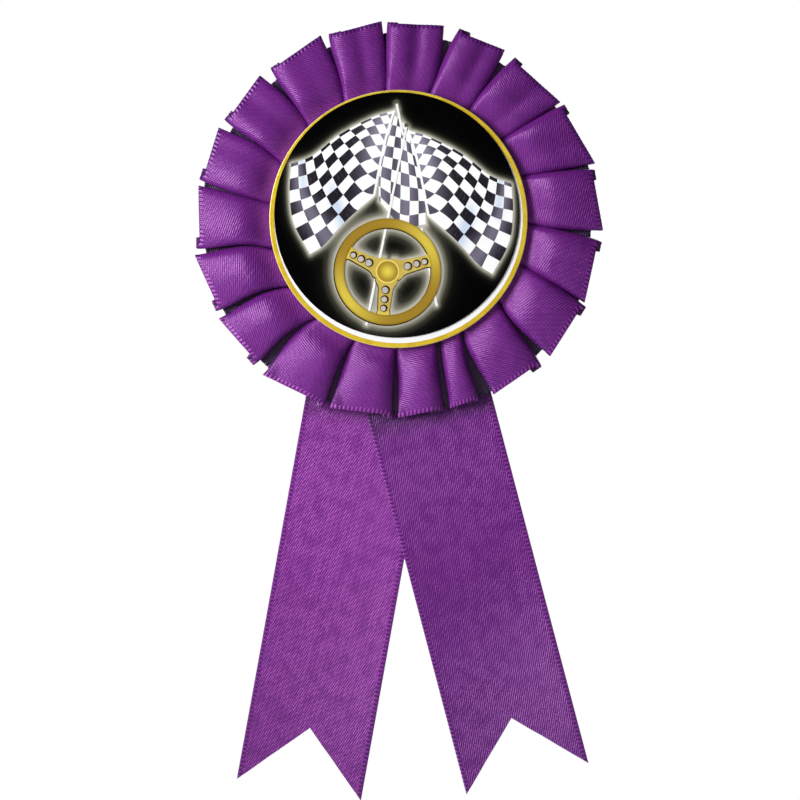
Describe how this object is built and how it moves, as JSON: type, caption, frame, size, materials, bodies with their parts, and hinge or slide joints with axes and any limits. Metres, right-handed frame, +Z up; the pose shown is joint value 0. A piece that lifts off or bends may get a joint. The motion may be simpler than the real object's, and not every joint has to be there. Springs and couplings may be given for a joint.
{
  "type": "award ribbon rosette",
  "caption": "Purple satin rosette with box pleats, a gold-rimmed disc printed with checkered flags and a steering wheel, swallow-tailed streamers and a hinged safety pin.",
  "frame": {"origin": "centre of the rosette on the rear face of the backing card, where the pin is fixed", "axes": "+Z up when worn, +X to the right of someone facing it, -Y out of the front"},
  "size_m": [0.082, 0.0125, 0.1584],
  "materials": {
    "satin_ribbon": "single-faced polyester satin, purple, with a beaded woven selvedge",
    "backing_card": "uncoated white card",
    "pleat_card": "grey card",
    "hot_glue": "milky hot-melt glue",
    "sewing_thread": "purple polyester thread",
    "staple_wire": "galvanised wire",
    "white_disc": "white moulded plastic",
    "gold_foil": "hot-stamped gold foil",
    "printed_sheet": "glossy printed film with flags and a steering wheel on black",
    "foam_tape": "white adhesive foam",
    "pin_steel": "nickel-plated pressed steel",
    "needle_steel": "polished wire",
    "catch_brass": "nickel-washed brass"
  },
  "bodies": {
    "rosette": {"backing_card": "backing_card", "rear_glue": "hot_glue", "left_streamer": "satin_ribbon", "right_streamer": "satin_ribbon", "staples": "staple_wire", "pleat_stitching": "sewing_thread", "pleat_card": "pleat_card", "pleated_ribbon": "satin_ribbon", "center_glue": "hot_glue", "insert_holder": "white_disc", "gold_rim": "gold_foil", "printed_insert": "printed_sheet", "pin_tape": "foam_tape", "pin_bar": "pin_steel", "hinge_rivet": "pin_steel"},
    "left_tail": {"left_tail": "satin_ribbon"},
    "right_tail": {"right_tail": "satin_ribbon"},
    "needle": {"pin_arm": "needle_steel"},
    "catch": {"catch_barrel": "catch_brass"}
  },
  "joints": [
    {"name": "left_tail_flex", "type": "hinge", "parent": "rosette", "child": "left_tail", "pos_m": [-0.01179, -0.00158, -0.06884], "axis": [0.9842, 0, -0.1771], "range_deg": [-60, 60]},
    {"name": "right_tail_flex", "type": "hinge", "parent": "rosette", "child": "right_tail", "pos_m": [0.01415, -0.00193, -0.06765], "axis": [0.9673, 0, 0.2538], "range_deg": [-60, 60]},
    {"name": "needle_hinge", "type": "hinge", "parent": "rosette", "child": "needle", "pos_m": [-0.0138, 0.0034, 0.011], "axis": [0, 0, 1], "range_deg": [0, 80]},
    {"name": "catch_turn", "type": "hinge", "parent": "rosette", "child": "catch", "pos_m": [0.011, 0.0034, 0.011], "axis": [1, 0, 0], "range_deg": [0, 100]}
  ]
}
